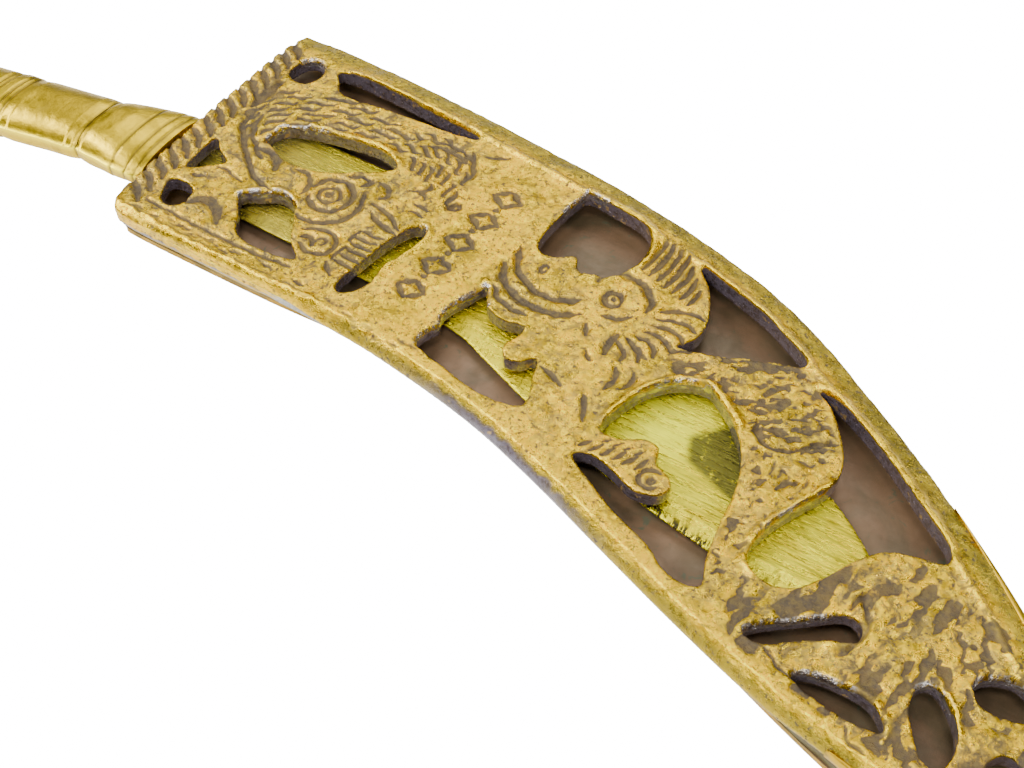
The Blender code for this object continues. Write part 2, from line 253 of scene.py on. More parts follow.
def first_head():
    """The maned beast's face: jaw, cheek, eye, snout, teeth and ear."""
    engrave([(2.5, 3.4), (2.9, 1), (4.6, -1.1), (6.6, -2.9), (8.6, -4.5), (11.2, -5.3)], 0.26, 0.3)
    engrave([(3.6, 3.2), (4.1, 1), (5.6, -0.6), (7.6, -2.2)], 0.22, 0.24)
    engrave([(6.2, -1), (7.8, -0.9), (9.2, -1.7), (9.6, -2.6)], 0.42, 0.26)
    engrave([(11.4, -1.5), (12.9, -1.6), (13.9, -2.7), (13.8, -4.2)], 0.22, 0.22)
    ring((16.4, -2.7), 2.15, 0.27, 0.3, -150, 178)
    ring((16.3, -2.8), 1.05, 0.2, 0.24, -20, 330)
    ring((16.3, -2.8), 0.25, 0.28, 0.2)
    ring((16.2, -3.1), 3.55, 0.24, 0.28, -108, 42)
    engrave([
        (16.9, -7.8), (18.2, -7), (19.8, -6.9), (20.8, -8), (20.4, -9.5), (19, -10), (17.6, -9.4),
    ])
    engrave([(17.4, -8.5), (18.4, -8.4), (18.9, -9)], 0.36, 0.26)
    ring((19.4, -8.3), 0.45, 0.18, 0.2, -60, 200)
    engrave([(16.4, 0.3), (17.8, 0.9), (18.8, 0.7), (18.2, -0.2)], 0.22, 0.22)
    engrave([(19.3, 1.1), (20.5, 1), (21.1, 0), (20.6, -0.8)], 0.22, 0.22)
    engrave([(22.4, 1.7), (23.5, 2.2), (24.4, 1.5)], 0.2, 0.2)
    for y in (0.4, -0.6):
        engrave([(23.9, y), (24.7, y + 0.15), (25.5, y - 0.1)], 0.22, 0.24)
    engrave([(20.4, -1.7), (21.8, -1.7), (23.2, -2.4), (24.6, -3.3)], 0.22, 0.26)
    engrave([(21.1, -2.7), (22.3, -3.4), (23.6, -3.6), (24.6, -3.9)], 0.22, 0.26)
    for top in (-5.1, -7.7):
        engrave([(21.7, top), (21.5, top - 1.0), (21.6, top - 1.9)], 0.2, 0.24)
        for tooth in range(3):
            y = top - 0.92 * tooth
            engrave([(21.7, y), (22.8, y - 0.05), (24.0, y)], 0.2, 0.26)
    engrave([(21.3, -10), (21.9, -10.7), (22.6, -11.3)], 0.24, 0.24)
    engrave([(5.4, -10.6), (7, -9.4), (8.6, -10.2), (9.6, -11.4)], 0.5, 0.22)
    engrave([(3.4, -7.3), (4.4, -7)], 0.35, 0.22)
    engrave([(4.7, -5.2), (6.4, -5.3), (8.2, -5.9)], 0.18, 0.16)
    ring((27.3, 2.2), 0.35, 0.5, 0.6)
    for y in (8.9, 8.1):
        engrave([(20.3, y), (22.2, y + 0.35), (24.0, y + 0.15), (25.0, y - 0.4)], 0.22, 0.24)
    engrave([(24.8, 9.4), (25.6, 8), (26.3, 6.8), (26, 5.2)], 0.24, 0.26)
    engrave([(25.9, 9.6), (27, 9.9), (28.2, 10.7)], 0.22, 0.22)


def ornament_panel():
    """A column of lozenges with a dot in each and a bead between neighbours."""
    for k in range(5):
        x, y = 31.0 - 0.32 * k, 5.6 - 3.6 * k
        for sx, sy in ((1, 1), (1, -1), (-1, -1), (-1, 1)):
            engrave([(x + 1.45 * sx, y), (x, y + 1.15 * sy)], 0.42, 0.26, 1)
        if k < 4:
            ring((x - 0.16, y - 1.8), 0.12, 0.4, 0.22)


def second_head():
    """The crested beast's beak and eye, the rays of its crest and ruff, and its claw."""
    engrave([(35.5, 0.9), (36.2, -1), (37.8, -2.5), (40, -3.2), (42, -2.9), (43.4, -1.9)], 0.38, 0.34)
    engrave([(35.2, -1.6), (36.4, -3.6), (39, -4.8), (42, -4.7), (44.2, -3.6)], 0.42, 0.36)
    engrave([(35.8, -4.5), (37.6, -5.9), (40.2, -6.2)], 0.3, 0.26)
    ring((38.7, -0.4), 0.3, 0.24, 0.22, squash=1.5)
    engrave([(36.9, 2.3), (38.1, 1.7), (39.4, 1.9)], 0.24, 0.18)
    ring((45.9, -0.4), 0.8, 0.34, 0.36)
    ring((45.9, -0.4), 0.1, 0.22, 0.22)
    engrave([(43.6, 0.8), (44.3, 2.2), (45.8, 2.9), (47.6, 2.5), (48.9, 1.2), (49.2, -0.3)], 0.42, 0.3)
    engrave([(46, -2.6), (47.3, -2.3), (48.3, -1.3)], 0.26, 0.2)
    engrave([(48.3, -3.8), (48.1, -5), (48.4, -6.4)], 0.42, 0.3)
    engrave([(45.4, -4.2), (45.9, -5.4)], 0.38, 0.26)
    engrave([(47, -7), (47.7, -7.8)], 0.3, 0.24)
    engrave([(49.9, -4.2), (51, -4.8), (51.9, -5)], 0.3, 0.2)
    engrave([(44.6, -10.6), (45.8, -10.9), (47, -11.5)], 0.3, 0.22)
    engrave([(50, -7.2), (50.6, -8.6), (50.3, -10)], 0.3, 0.22)
    engrave([(51.7, -6.9), (52, -8), (51.6, -9.2)], 0.26, 0.2)
    engrave([(49.2, -11.2), (49.9, -12.6), (50.6, -13.8)], 0.3, 0.2)
    for k in range(7):
        x = 46.3 + 0.92 * k
        far = 8.9 - 0.12 * k * k
        engrave([(x, 4.3 - 0.3 * k), (x + 0.35, 0.5 * (4.3 - 0.3 * k + far)), (x + 0.2, far)], 0.3, 0.3)
    for k in range(7):
        angle = math.radians(14 - 11.5 * k)
        near, far = 4.7, 8.6 - 0.22 * k
        points = []
        for f in (0, 0.35, 0.7, 1):
            r, a = near + (far - near) * f, angle + 0.1 * math.sin(3 * f)
            points.append((45.7 + r * math.cos(a), -0.6 + r * math.sin(a)))
        engrave(points, 0.28, 0.3)
    ring((58.2, -16.1), 0.95, 0.26, 0.3, 60, 330)
    ring((58.4, -16.3), 0.22, 0.26, 0.28)
    for k in range(6):
        engrave([(51.6 + 1.0 * k, -16.2 + 0.05 * k), (52.2 + 1.0 * k, -15.3 + 0.15 * k)], 0.28, 0.24)
    for k in range(4):
        engrave([(53.0 + 1.0 * k, -14.9 + 0.1 * k), (53.5 + 1.0 * k, -14.4 + 0.15 * k)], 0.2, 0.2)


# Where the crested beast has scales on its body and neck and plumes on its hind part
BODY = [
    (52.6, -3), (57, -0.6), (63.4, 1.2), (66.4, -0.8), (69.8, -5.2), (70.6, -8.2), (66.5, -8.4),
    (62.5, -7.6), (58.5, -4.6), (54.8, -5.6),
]
NECK = [(62.8, -8.4), (70.3, -8.8), (68.2, -14), (67.8, -19), (67.2, -23.4), (65.6, -20), (64.9, -14)]
HIND = [
    (67, -20.6), (72.2, -20), (75, -15.4), (78.2, -12.6), (83, -11.4), (88.6, -15), (96, -22.6),
    (101.6, -31), (101, -35), (94, -31.4), (84, -29.4), (76, -27.4), (70, -26),
]


def crested_beast():
    """The lines of its shoulder and haunch."""
    engrave([(69.7, -4.9), (68.3, -5.8), (66.9, -7.3), (65.2, -8.1), (63.6, -7.6), (62.9, -6.2)])
    for k in range(6):
        x = 66.0 + 0.75 * k
        engrave([(x, -9.3 - 0.3 * k % 1), (x + 0.2, -10.1), (x + 0.1, -10.8)], 0.16, 0.14)
    engrave([(76.8, -18.9), (77.3, -17.4), (78.2, -18.6), (78.7, -20.5), (78.3, -22.2)], 0.22, 0.3)
    engrave([(72.8, -25.2), (74.2, -26.2), (75.4, -26.6)], 0.14, 0.26)
    engrave([(80.4, -28), (81.2, -29), (82.6, -29.4)], 0.16, 0.26)


def rim_marks():
    """Worn dashes along the belly rim near the throat and a line inside the rim."""
    rng = np.random.RandomState(3)
    for k in range(44):
        x = 1.5 + 0.75 * k
        y = -12.9 - rng.uniform(0, 1.4) - 0.0012 * x * x
        far = x + rng.uniform(0.4, 1.3)
        engrave([(x, y), (far, y - 0.02)], rng.uniform(0.12, 0.26), rng.uniform(0.08, 0.2), 1)
    engrave([(1.8, -12.4), (8, -12.7), (14, -12.8), (19, -12.4)], 0.18, 0.18)
    engrave([(0.6, -13.9), (8, -14.35), (17, -14.45), (22, -14.4)], 0.13, 0.16)
    engrave([(1.9, 8.2), (1.75, 6.2), (1.8, 4)], 0.55, 0.5)


for make in (rope_border, mane, first_head, ornament_panel, second_head, crested_beast, rim_marks):
    make()


def waves(x, y, size, seed):
    """Smooth uneven ground of about that size, between -1 and 1, from a few crossed waves."""
    rng = np.random.RandomState(seed)
    total = np.zeros_like(x)
    for _ in range(9):
        angle, phase = rng.uniform(0, 2 * math.pi, 2)
        k = 2 * math.pi / (size * rng.uniform(0.7, 1.6))
        total += np.sin(k * (x * math.cos(angle) + y * math.sin(angle)) + phase)
    return total / 4.0


def ground(x, y, size, seed, octaves=2):
    """Uneven ground from 0 to 1 with lumps of about that size."""
    total, weight = np.zeros_like(x), 0.0
    for octave in range(octaves):
        table = np.random.RandomState(seed + octave).rand(64, 64)
        u, v = x / size * 2**octave, y / size * 2**octave
        i, j = np.floor(u).astype(int), np.floor(v).astype(int)
        f, g = ramp(u - i, 0, 1), ramp(v - j, 0, 1)
        i, j, i1, j1 = i % 64, j % 64, (i + 1) % 64, (j + 1) % 64
        low = table[i, j] * (1 - f) + table[i1, j] * f
        high = table[i, j1] * (1 - f) + table[i1, j1] * f
        total += (low * (1 - g) + high * g) * 0.5**octave
        weight += 0.5**octave
    return total / weight


def hide_marks(x, y, across, along, heading, seed, low, high):
    """Ragged hollows between scales or plumes, drawn out along a heading in degrees."""
    turn = np.radians(heading)
    u, v = x * np.cos(turn) + y * np.sin(turn), -x * np.sin(turn) + y * np.cos(turn)
    u = u + 0.3 * waves(x, y, 1.6, seed)
    v = v + 0.16 * waves(x, y, 0.9, seed + 1)
    return ramp(ground(u / along, v / across, 1.0, seed + 2), low, high)


def within(polygon, where):
    """1 inside the polygon and 0 outside, with a soft edge 0.3 mm to both sides."""
    border = distance_to(np.array([*polygon, polygon[0]], float), where)
    side = np.where(inside(polygon, where), 0.5, -0.5)
    return 0.5 + side * ramp(border, 0, 0.3)


def hide(where):
    """How deep each point lies in the hollows of the crested beast's scales and plumes."""
    x, y = where.T
    scales = hide_marks(x, y, 0.42, 0.95, 34, 40, 0.4, 0.66)
    neck = hide_marks(x, y, 0.55, 0.8, 70, 50, 0.58, 0.76)
    plumes = np.where(
        x < 84,
        hide_marks(x, y, 0.62, 1.7, 80, 60, 0.46, 0.62),
        hide_marks(x, y, 0.62, 1.5, -62, 70, 0.47, 0.63),
    )
    sparse = 0.55 + 0.45 * ramp(ground(x, y, 3.5, 80), 0.38, 0.6)
    deep = np.maximum(scales * within(BODY, where), neck * within(NECK, where))
    return np.maximum(deep, plumes * sparse * within(HIND, where))


# Raised lips along rims and the edges of openings, rubbed, with a pale highlight painted along them
LIPS = [
    [(0, -14.2), (8, -14.75), (18, -14.85), (24, -14.8)],
    [(7.6, 12.9), (12, 13.1), (18, 12.6), (24, 11.8)],
    [(6.3, 2.4), (9, 4.2), (13, 5), (17, 5.3), (19.6, 4.2)],
    [
        (37.2, 10.7), (40.4, 10.4), (43.6, 9.8), (45.5, 8.3), (46.1, 5.8), (45.7, 3.4), (44.1, 1.5),
        (42.4, 0.6),
    ],
    [(35.2, -4.7), (35.8, -6), (37, -7.4), (38.8, -7.9), (41, -7.5)],
    [(51, 7.6), (54.5, 6.5), (58.5, 5.1), (61.8, 3.5), (64.1, 1.8)],
    [(65.8, -0.1), (68.5, -0.7), (71.8, -2.4), (75.2, -4.7), (78.6, -7.3), (81.4, -9.5)],
    [(52, -12.6), (52.3, -10.8), (53.4, -7.7), (55.3, -5.6), (57.6, -4.8), (59.6, -5.6), (61.9, -7.4)],
    [(70.9, -9), (69.3, -12.5), (68, -15.7), (67.8, -18.6), (69.2, -20.2)],
    [(78.6, -19.6), (78.8, -21.2), (76.6, -22.7)],
    [(83.1, -26.8), (81.7, -25.2), (79.6, -24.8)],
    [(87.7, -24.9), (86.5, -22.6), (84.8, -21.3)],
    [(8.8, -7.2), (10.5, -5.8), (12.2, -4.8), (14.4, -5.4)],
    [(26.6, -1.6), (27.3, -2.8), (26.9, -6), (26.2, -8), (26.5, -9.4)],
]

# Edges of openings that are bevelled down, with a pale silver highlight painted on their walls
GLINTS = [
    [(6, 0.3), (6.5, 2.4), (8.2, 3.7), (10.5, 4.2)],
    [(9, -7), (10.6, -5.8), (12.4, -4.9), (14.4, -5.4)],
    [(26.5, -1.6), (27, -3), (26.6, -6), (25.9, -8), (26.2, -9.4), (25.6, -11.4)],
    [(33.8, -14), (33.7, -12.3), (34.2, -11), (33.7, -9.5), (34.5, -7), (35.4, -4.9), (36.4, -6.6)],
    [(36.6, 7.6), (36.8, 9.2), (37.6, 10.4), (39, 10.3)],
    [(53.4, -8.3), (54.4, -6.9), (55.6, -5.8), (57.6, -5)],
    [(68.2, -16), (69.6, -12.4), (70.6, -10.4)],
    [(71, -24.3), (73, -22.4), (75.4, -20.5)],
    [(84, -22), (84.8, -21.5), (86.2, -22.6)],
    [(75.6, -26), (77, -25.2), (79.4, -25)],
    [(87.2, -19.6), (88.2, -18.7), (90, -18.1)],
    [(2.2, 12.4), (3, 13), (4, 12.8)],
]

BOLD_UP_TO_X = 26.5  # the beast at the throat is engraved more boldly
# Raised lines: height and width, and the distance from the edge that they follow
LIP_HEIGHT, LIP_WIDTH = 0.3, 0.4
RIDGE_HEIGHT, RIDGE_WIDTH, RIDGE_INSET = 0.32, 0.3, 2.85
RIM_HEIGHT, RIM_WIDTH, RIM_INSET = 0.14, 0.2, 0.95


def cut_strokes(x, y, where, uneven, height, groove):
    """Cuts the strokes into height and groove, in place. The points are moved a little from x and
    y, to where, so that the strokes waver."""
    for line, width, depth in STROKES:
        width *= 1.32 if line[:, 0].mean() < BOLD_UP_TO_X else 1.0
        low, high = line.min(0) - 3.5 * width, line.max(0) + 3.5 * width
        near = np.flatnonzero((x > low[0]) & (x < high[0]) & (y > low[1]) & (y < high[1]))
        if not len(near):
            continue
        reach = stroke_reach(line, width, where[near]) / uneven[near]
        shape = np.exp(-(reach**2.2))
        dark = np.maximum(shape * min(1.0, depth / 0.22), 0.55 * bell(reach, 1.7))
        groove[near] = np.maximum(groove[near], dark)
        height[near] = np.minimum(height[near], height[near] * (1 - shape) - depth * shape)
        height[near] += 0.05 * bell(reach - 1.75, 0.4)


def relief(where, edge, spine, belly):
    """The casting's top: its height, how deep in a groove, where it is rubbed and a pale highlight is
    painted, and where openings' edges are bevelled and a glint is painted.
    """
    x, y = where.T
    height = 0.07 * waves(x, y, 6.0, 1) + 0.03 * waves(x, y, 1.6, 2)
    height += 0.05 * (ground(x, y, 1.3, 90) - 0.5) + 0.03 * (ground(x, y, 0.5, 95) - 0.5)
    groove = np.zeros(len(where))
    uneven = 1 + 0.22 * waves(x, y, 1.1, 6)
    where = where + 0.09 * np.stack([waves(x, y, 1.8, 7), waves(x, y, 1.8, 8)], 1)
    cut_strokes(x, y, where, uneven, height, groove)
    hollow = hide(where)
    height -= 0.2 * hollow
    groove = np.maximum(groove, 0.9 * hollow)
    lip, worn = np.zeros(len(where)), np.zeros(len(where))
    for points in LIPS:
        lip = np.maximum(lip, bell(distance_to(flow(points, 5), where), LIP_WIDTH))
    height += LIP_HEIGHT * lip
    # these edges are bevelled, and the same mask later carries a painted glint
    for points in GLINTS:
        worn = np.maximum(worn, fade(distance_to(flow(points, 4), where), 0.5, 0.8))
    height -= 0.34 * worn * np.clip(1 - edge / 0.36, 0, 1) ** 1.2
    # edges of the openings are a little rounded, and the rims fall away outwards
    height -= 0.1 * fade(edge, 0, 0.25) ** 1.5
    rim = ramp(x, 16, 26)
    height -= (0.15 + rim) * np.clip(1 - belly / (0.5 + rim), 0, 1) ** 2
    height -= 0.42 * np.clip(1 - spine / 2.6, 0, 1) ** 1.2
    ridge = bell(spine - RIDGE_INSET, RIDGE_WIDTH) * ramp(x, 5, 12)
    rim_line = bell(belly - RIM_INSET + 0.06 * waves(x, y, 4.0, 41), RIM_WIDTH) * ramp(x, -2, 4)
    height += RIDGE_HEIGHT * ridge + RIM_HEIGHT * rim_line
    # partly rubbed brass, partly a painted highlight: the lips, the spine's ridge, the rim line and the
    # belly rim's band are made pale gold to stand for the light they catch
    rubbed = np.maximum(lip, (0.5 + 0.5 * ramp(x, 44, 50)) * ridge)
    rubbed = np.maximum(rubbed, 0.65 * fade(belly, 0.9, 1.8) * ramp(x, 24, 32))
    return height, groove, np.maximum(rubbed, rim_line), worn


# ---------------- mesh helpers


def to_plane(points):
    return (points - ORIGIN) / MM


def to_world(points):
    return np.asarray(points, float) * MM + ORIGIN


def vertex_array(mesh):
    co = np.empty(len(mesh.vertices) * 3, np.float32)
    mesh.vertices.foreach_get("co", co)
    return co.reshape(-1, 3).astype(float)


def set_vertices(mesh, points):
    mesh.vertices.foreach_set("co", points.astype(np.float32).ravel())
    mesh.update()


def add_attributes(mesh, **layers):
    """Keeps a value for each vertex under each name, for a material to read."""
    for name, values in layers.items():
        layer = mesh.attributes.new(name, "FLOAT", "POINT")
        layer.data.foreach_set("value", np.asarray(values, np.float32))


def link(obj):
    bpy.context.scene.collection.objects.link(obj)
    return obj


def dress(piece, metal):
    piece.data.shade_smooth()
    piece.data.materials.append(metal)


def remeshed(node, name, voxel, smooth):
    """A CAD node's solid as an even mesh of small faces."""
    copy = link(bpy.data.objects.new(name + "_raw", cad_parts[node].data.copy()))
    copy.data.materials.clear()
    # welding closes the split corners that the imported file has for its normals
    weld = bmesh.new()
    weld.from_mesh(copy.data)
    bmesh.ops.remove_doubles(weld, verts=weld.verts, dist=1e-6)
    weld.to_mesh(copy.data)
    weld.free()
    step = copy.modifiers.new("remesh", "REMESH")
    step.mode = "VOXEL"
    step.voxel_size = voxel * MM
    soft = copy.modifiers.new("smooth", "SMOOTH")
    soft.factor, soft.iterations = 0.5, smooth
    bpy.context.view_layer.update()
    graph = bpy.context.evaluated_depsgraph_get()
    mesh = bpy.data.meshes.new_from_object(copy.evaluated_get(graph))
    bpy.data.objects.remove(copy)
    return link(bpy.data.objects.new(name, mesh))


def lofted(name, sections):
    """A closed body over sections, each a round of as many points in the plane's millimetres."""
    shape = bmesh.new()
    rounds = [[shape.verts.new(to_world(point)) for point in section] for section in sections]
    for a, b in zip(rounds, rounds[1:]):
        for k in range(len(a)):
            nxt = (k + 1) % len(a)
            shape.faces.new((a[k], a[nxt], b[nxt], b[k]))
    shape.faces.new(rounds[0])
    shape.faces.new(reversed(rounds[-1]))
    bmesh.ops.recalc_face_normals(shape, faces=shape.faces)
    mesh = bpy.data.meshes.new(name)
    shape.to_mesh(mesh)
    shape.free()
    return link(bpy.data.objects.new(name, mesh))


def sweep(name, path, profile):
    """A closed body along a line in the plane. The profile gives distances inwards and heights for
    a place along the line, from 0 to 1, and the point there."""
    along = np.gradient(path, axis=0)
    along /= np.hypot(*along.T)[:, None]
    inward = np.stack([along[:, 1], -along[:, 0]], 1)
    sections = []
    for i, point in enumerate(path):
        section = profile(i / (len(path) - 1), point)
        sections.append([(*(point + inward[i] * off), z) for off, z in section])
    return lofted(name, sections)


SAMPLE_STEP = 0.08  # between points along the casting's outline


def top_edges(node):
    """Points along the outline and the openings of a flat CAD node's top, in the plane."""
    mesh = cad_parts[node].data
    co = vertex_array(mesh)
    top = co[:, 2].max() - 1e-6
    uses = {}
    for polygon in mesh.polygons:
        corners = list(polygon.vertices)
        if all(co[i, 2] >= top for i in corners):
            for pair in zip(corners, corners[1:] + corners[:1]):
                edge = frozenset((round(co[i, 0], 7), round(co[i, 1], 7)) for i in pair)
                uses[edge] = uses.get(edge, 0) + 1
    samples = []
    for edge, used in uses.items():
        if used == 1 and len(edge) == 2:
            a, b = (np.array(end) for end in edge)
            pieces = max(1, int(np.hypot(*(b - a)) / (SAMPLE_STEP * MM)))
            samples += [a + (b - a) * k / pieces for k in range(pieces)]
    return (np.array(samples) - ORIGIN[:2]) / MM


def nearest(samples, where):
    """Distance from each point of where to the nearest sample."""
    tree = KDTree(len(samples))
    for i, (x, y) in enumerate(samples):
        tree.insert((x, y, 0), i)
    tree.balance()
    return np.array([tree.find((x, y, 0))[2] for x, y in where])


# ---------------- materials


class Nodes:
    """A small helper to lay out a Principled material."""

    def __init__(self, name):
        self.material = bpy.data.materials.new(name)
        self.material.use_nodes = True
        self.tree = self.material.node_tree
        self.shader = self.tree.nodes["Principled BSDF"]
        self.place = self.add("ShaderNodeTexCoord").outputs["Object"]

    def add(self, kind, inputs=None, **settings):
        """A new node, with its settings made before its inputs are filled."""
        node = self.tree.nodes.new(kind)
        for key, value in settings.items():
            setattr(node, key, value)
        self.fill(node, inputs or {})
        return node

    def fill(self, node, inputs):
        """Gives each named input of a node a link or a value."""
        for name, value in inputs.items():
            socket = node.inputs[name]
            if isinstance(value, bpy.types.NodeSocket):
                self.tree.links.new(value, socket)
            elif socket.type == "RGBA":
                socket.default_value = (*value, 1)
            else:
                socket.default_value = value

    def attribute(self, name):
        return self.add("ShaderNodeAttribute", attribute_name=name).outputs["Fac"]

    def noise(self, size, detail=4.0, rough=0.6, warp=0.0, stretch=None):
        """Noise whose marks are about size millimetres across, or drawn out by a turn and a scale."""
        place = self.place
        if stretch:
            turned = {"Vector": place, "Rotation": (0, 0, math.radians(stretch[0])), "Scale": stretch[1]}
            place = self.add("ShaderNodeMapping", turned).outputs["Vector"]
        inputs = {"Vector": place, "Scale": 1000 / size, "Detail": detail, "Roughness": rough}
        return self.add("ShaderNodeTexNoise", {**inputs, "Distortion": warp}).outputs["Fac"]

    def times(self, a, b, clamp=False):
        return self.math("MULTIPLY", a, b, clamp)

    def math(self, operation, a, b, clamp=False):
        return self.add("ShaderNodeMath", {0: a, 1: b}, operation=operation, use_clamp=clamp).outputs[0]

    def fit(self, value, low, high, to_low=0.0, to_high=1.0):
        """A smooth step from to_low, where the value is low, to to_high, where it is high."""
        inputs = {"Value": value, "From Min": low, "From Max": high, "To Min": to_low, "To Max": to_high}
        return self.add("ShaderNodeMapRange", inputs, interpolation_type="SMOOTHSTEP").outputs[0]

    def mix(self, factor, a, b, kind="RGBA"):
        inputs = {"Factor": factor, "A": a, "B": b}
        return self.add("ShaderNodeMix", inputs, data_type=kind).outputs["Result"]

    def blend(self, factor, a, b):
        """The same for plain numbers."""
        return self.mix(factor, a, b, "FLOAT")

    def bump(self, *layers):
        """Bumps one on another, each a height and its depth in millimetres."""
        inputs = {}
        for height, depth in layers:
            node = self.add("ShaderNodeBump", {"Distance": depth * MM, "Height": height, **inputs})
            inputs = {"Normal": node.outputs["Normal"]}
        self.fill(self.shader, inputs)

    def finish(self, colour, roughness, metallic):
        inputs = {"Base Color": colour, "Roughness": roughness, "Metallic": metallic}
        self.fill(self.shader, inputs)
        return self.material


# Colours of the brass, clean and tarnished, and of the painted slope shade and glint
GOLD = (0.86, 0.5, 0.003)
PALE_GOLD = (1.0, 0.67, 0.005)
OLIVE = (0.38, 0.245, 0.006)
ROSE = (0.4, 0.275, 0.06)
SLOPE_BROWN = (0.32, 0.25, 0.03)
COPPER = (0.42, 0.27, 0.1)
BARE_METAL = (0.62, 0.58, 0.57)
PATINA = (0.052, 0.044, 0.042)
DIRT = (0.095, 0.072, 0.044)
WALL_PATINA = (0.155, 0.125, 0.15)
WALL_DIRT = (0.085, 0.06, 0.058)
SOLDER = (0.42, 0.44, 0.42)
DULL_SOLDER = (0.24, 0.26, 0.24)


def cast_brass():
    """Old cast brass: gold where hands rub it, with painted highlights on lips and ridges, rose and
    purple-brown in patches and grooves, painted shade on the rims' slopes and the belly's flank, and
    painted glints on the openings' edges.
    """
    n = Nodes("cast_brass_relief")
    groove, depth = n.attribute("groove"), n.attribute("depth")
    wear, mottle, outer = n.attribute("wear"), n.attribute("mottle"), n.attribute("outer")
    cloud = n.noise(4.5, 6, 0.65, 0.6)
    fleck = n.noise(0.6, 6, 0.75, 0.4)
    grain = n.noise(0.22, 4, 0.7)
    pit = n.fit(n.noise(0.4, 3, 0.6, 0.3), 0.58, 0.66)
    # clean metal
    base = n.mix(n.fit(cloud, 0.38, 0.6), OLIVE, GOLD)
    rose = n.fit(n.noise(2, 5, 0.7, 0.8), 0.46, 0.6)
    rose = n.times(rose, n.math("ADD", mottle, 0.2), clamp=True)
    base = n.mix(n.times(rose, 0.85), base, ROSE)
    base = n.mix(n.times(n.fit(fleck, 0.47, 0.62), 0.85), base, PALE_GOLD)
    # painted shade: the rims' outer slopes, which face away from the light, are made brown
    base = n.mix(n.times(outer, 0.75), base, SLOPE_BROWN)
    # dirt in grooves, patches and pits, rubbed away where hands reach
    patches = n.times(n.fit(n.noise(1.3, 6, 0.7, 0.9), 0.52, 0.62), mottle)
    ragged = n.times(n.math("SUBTRACT", fleck, 0.5), 1.5)
    in_groove = n.fit(n.math("ADD", groove, ragged), 0.24, 0.66)
    dark = n.math("MAXIMUM", in_groove, n.math("MAXIMUM", patches, n.times(pit, 0.9)))
    rubbed = n.times(wear, n.fit(n.noise(1.4, 4), 0.36, 0.56))
    dark = n.times(dark, n.math("SUBTRACT", 1.0, n.times(rubbed, 0.9)), clamp=True)
    dirt = n.mix(n.fit(n.noise(0.9, 4, 0.7), 0.4, 0.6), PATINA, DIRT)
    colour = n.mix(n.times(dark, 0.92), base, dirt)
    # pale gold where rubbed, which is also a painted highlight on the lips, ridges and belly rim
    colour = n.mix(n.times(rubbed, 0.85), colour, PALE_GOLD)
    # walls of the openings and the painted shade on the belly's flank, painted glints on the openings'
    # edges, and the solder in the seam
    hole = n.mix(n.fit(fleck, 0.45, 0.62), WALL_PATINA, WALL_DIRT)
    hole = n.mix(n.fit(n.noise(1.1, 4), 0.6, 0.68), hole, COPPER)
    # depth also gives this colour to the painted shade over the belly's flank
    colour = n.mix(depth, colour, hole)
    # painted glint: pale silver on the bevelled edges, standing in for the light they reflect
    bare = n.times(n.attribute("silver"), n.fit(n.noise(0.9, 5, 0.7), 0.44, 0.58))
    colour = n.mix(bare, colour, BARE_METAL)
    solder = n.mix(n.fit(fleck, 0.45, 0.6), SOLDER, DULL_SOLDER)
    colour = n.mix(n.times(n.attribute("solder"), 0.9), colour, solder)
    rough = n.blend(dark, n.fit(n.noise(1, 4), 0.35, 0.65, 0.2, 0.36), 0.52)
    rough = n.blend(n.times(rubbed, 0.8), rough, 0.16)
    rough = n.blend(n.math("MAXIMUM", depth, bare), rough, 0.22)
    metal = n.blend(bare, n.blend(depth, n.blend(dark, 1.0, 0.35), 0.45), 1.0)
    coat = {"Coat Weight": n.times(depth, 0.8), "Coat Roughness": 0.18}
    n.fill(n.shader, {"Specular IOR Level": n.blend(dark, 0.5, 0.15), **coat})
    pitted = n.math("SUBTRACT", fleck, n.times(pit, 0.5))
    n.bump((n.noise(1.5, 3, 0.6), 0.18), (pitted, 0.08), (grain, 0.015))
    return n.finish(colour, rough, metal)


# ---------------- pieces


BLADE_EDGE = [
    (-0.9, -7.6), (2, -7.9), (12.7, -8.2), (25, -8.5), (34.5, -9.4), (39, -10.9), (44, -12.8),
    (52, -15.6), (58, -17.2), (64.6, -18.4), (70, -19), (75.5, -18.6), (80.3, -16.6),
]
STAIN = [
    (58.4, -9.2), (60.6, -6.6), (63.4, -7.2), (65.4, -11), (65.2, -13.8), (62.2, -12.6), (59.4, -11.6),
]
# centre of a painted highlight on the blade
BRIGHT_SPOT = (56.5, -9.5)


def blade():
    """The blade, thinned to its cutting edge, over the CAD blade's own outline."""
    piece = remeshed("blade", "blade_filed", 0.22, 2)
    co = to_plane(vertex_array(piece.data))
    where = co[:, :2]
    x, y = where.T
    edge = distance_to(flow(BLADE_EDGE, 6), where)
    bevel = 1 - 0.72 * ramp(x, 4, 9) * (1 - np.clip(edge / 1.7, 0, 1))
    co[:, 2] = BLADE_Z + (co[:, 2] - BLADE_Z) * bevel
    set_vertices(piece.data, to_world(co))
    add_attributes(
        piece.data,
        edge=fade(edge, 1.5, 1.8),
        stain=within(STAIN, where),
        tick=ramp(x, 52, 56) * fade(x, 68, 72) * fade(edge, 0.45, 0.95),
        bright=bell(np.hypot(*(where - BRIGHT_SPOT).T), 4.2),
        dull=fade(x + 0.6 * y, 6, 26),
    )
    dress(piece, filed_brass())
    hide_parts("blade")
    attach(piece, "knife")


